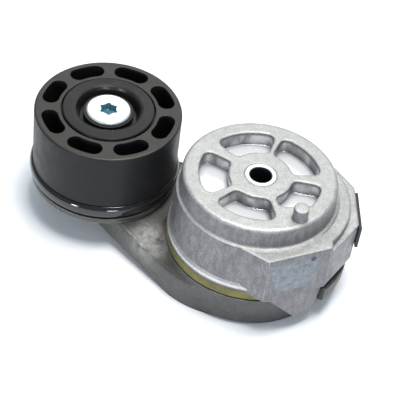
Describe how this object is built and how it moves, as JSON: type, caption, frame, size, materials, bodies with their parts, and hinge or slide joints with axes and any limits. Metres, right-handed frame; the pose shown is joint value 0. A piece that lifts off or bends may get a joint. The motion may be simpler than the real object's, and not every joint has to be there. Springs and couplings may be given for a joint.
{
  "type": "belt tensioner idler",
  "caption": "Automatic belt tensioner: cast spring case with mounting bore and dowel, swinging arm and ribbed smooth idler pulley on a bearing.",
  "frame": {"origin": "middle of the mounting bore at the mounting face of the spring case", "axes": "+Z out of the mounting face along the bore, pulley towards -X at rest, +Y completes the right hand"},
  "size_m": [0.1806, 0.0876, 0.0715],
  "materials": {
    "cast_case": "as-cast, slightly grainy",
    "cast_arm": "as-cast, dark grey",
    "zinc_steel": "bright zinc plate",
    "sleeve_steel": "turned",
    "damper_plastic": "satin olive yellow",
    "spring_steel": "oiled, dark",
    "clip_steel": "black",
    "pulley_plastic": "satin black",
    "front_shield_paint": "satin black",
    "rear_shield_paint": "gloss black",
    "washer_steel": "blackened",
    "bearing_steel": "ground",
    "cage_steel": "pressed",
    "seal_rubber": "matt black",
    "bushing_plastic": "self-lubricating"
  },
  "bodies": {
    "case": {"spring_case": "cast_case", "pivot_sleeve": "sleeve_steel", "thrust_washer": "bushing_plastic", "pivot_end_washer": "zinc_steel", "damper_ring": "damper_plastic", "torsion_spring": "spring_steel", "spring_end_clip": "clip_steel"},
    "arm": {"tensioner_arm": "cast_arm", "upper_pivot_bushing": "bushing_plastic", "lower_pivot_bushing": "bushing_plastic", "spring_guide": "bushing_plastic", "pulley_bolt": "zinc_steel", "bolt_washer": "washer_steel", "front_dust_shield": "front_shield_paint", "rear_dust_shield": "rear_shield_paint", "bearing_inner_race": "bearing_steel"},
    "pulley": {"pulley": "pulley_plastic", "bearing_outer_race": "bearing_steel", "front_bearing_seal": "seal_rubber", "rear_bearing_seal": "seal_rubber", "bearing_snap_ring": "spring_steel"},
    "ball_cage": {"front_ball_row": "bearing_steel", "rear_ball_row": "bearing_steel", "front_ball_cage": "cage_steel", "rear_ball_cage": "cage_steel"}
  },
  "joints": [
    {"name": "arm_pivot", "type": "hinge", "parent": "case", "child": "arm", "pos_m": [0, 0, -0.04], "axis": [0, 0, 1], "range_deg": [0, 45], "stiffness_Nm_per_rad": 25, "springref_deg": -5.73, "deforming": ["torsion_spring"]},
    {"name": "pulley_spin", "type": "hinge", "parent": "arm", "child": "pulley", "pos_m": [-0.0875, 0, -0.0183], "axis": [0, 0, 1], "continuous": true},
    {"name": "cage_orbit", "type": "hinge", "parent": "arm", "child": "ball_cage", "pos_m": [-0.0875, 0, -0.0183], "axis": [0, 0, 1], "continuous": true}
  ],
  "couplings": [
    {"joint": "cage_orbit", "follows": "pulley_spin", "ratio": 0.6172}
  ]
}
